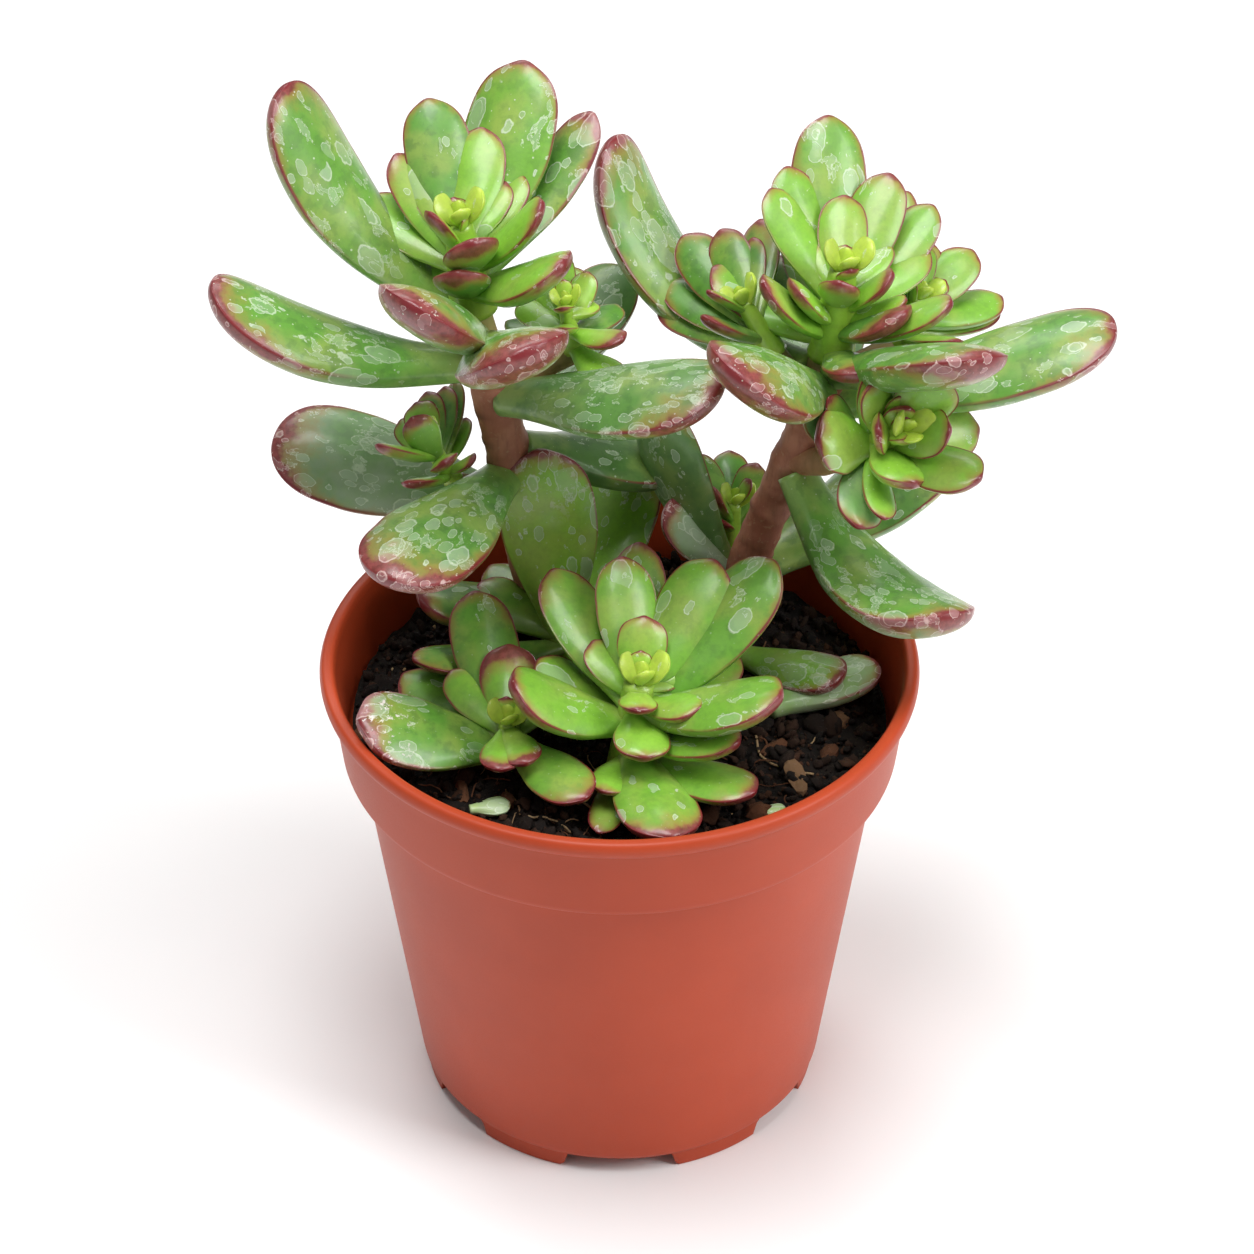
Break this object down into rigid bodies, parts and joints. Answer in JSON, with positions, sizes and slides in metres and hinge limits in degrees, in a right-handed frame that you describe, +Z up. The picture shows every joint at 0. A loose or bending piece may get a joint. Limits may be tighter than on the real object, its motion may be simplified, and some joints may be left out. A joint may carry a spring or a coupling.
{
  "type": "potted joyce sedum",
  "caption": "Branching succulent with fleshy paddle-shaped, red-edged leaves and leafy heads on bare stems, growing in dark soil in a round tapered terracotta-coloured plastic pot.",
  "frame": {"origin": "middle of the whole plant's and pot's footprint box, on the surface the pot's feet rest on", "axes": "+Z up; -Y towards the side the picture looks at; +X to that viewer's right"},
  "size_m": [0.1526, 0.1115, 0.1877],
  "materials": {
    "terracotta_plastic": "satin",
    "potting_soil": "matte",
    "stem": "matte",
    "young_leaf": "satin",
    "grown_leaf": "satin",
    "dry_leaf": "matte"
  },
  "bodies": {
    "root": {"pot": "terracotta_plastic", "soil": "potting_soil", "left_stem": "stem", "right_stem": "stem", "left_crown": "young_leaf", "left_side_crown": "young_leaf", "left_low_crown": "young_leaf", "right_crown": "young_leaf", "right_back_crown": "young_leaf", "right_inner_crown": "young_leaf", "right_side_crown": "young_leaf", "front_crown": "young_leaf", "front_left_crown": "young_leaf", "middle_crown": "young_leaf", "back_crown": "young_leaf", "left_leaf_1": "grown_leaf", "left_leaf_2": "grown_leaf", "left_leaf_3": "grown_leaf", "left_leaf_4": "grown_leaf", "left_leaf_5": "grown_leaf", "left_leaf_6": "grown_leaf", "left_leaf_7": "grown_leaf", "left_leaf_8": "grown_leaf", "left_leaf_9": "grown_leaf", "left_leaf_10": "grown_leaf", "right_leaf_1": "grown_leaf", "right_leaf_2": "grown_leaf", "right_leaf_3": "grown_leaf", "right_leaf_4": "grown_leaf", "right_leaf_5": "grown_leaf", "right_leaf_6": "grown_leaf", "right_leaf_7": "grown_leaf", "right_leaf_8": "grown_leaf", "right_leaf_9": "grown_leaf", "fallen_leaf_1": "grown_leaf", "fallen_leaf_2": "grown_leaf", "leaf_scrap_1": "dry_leaf", "leaf_scrap_2": "dry_leaf"}
  },
  "joints": []
}
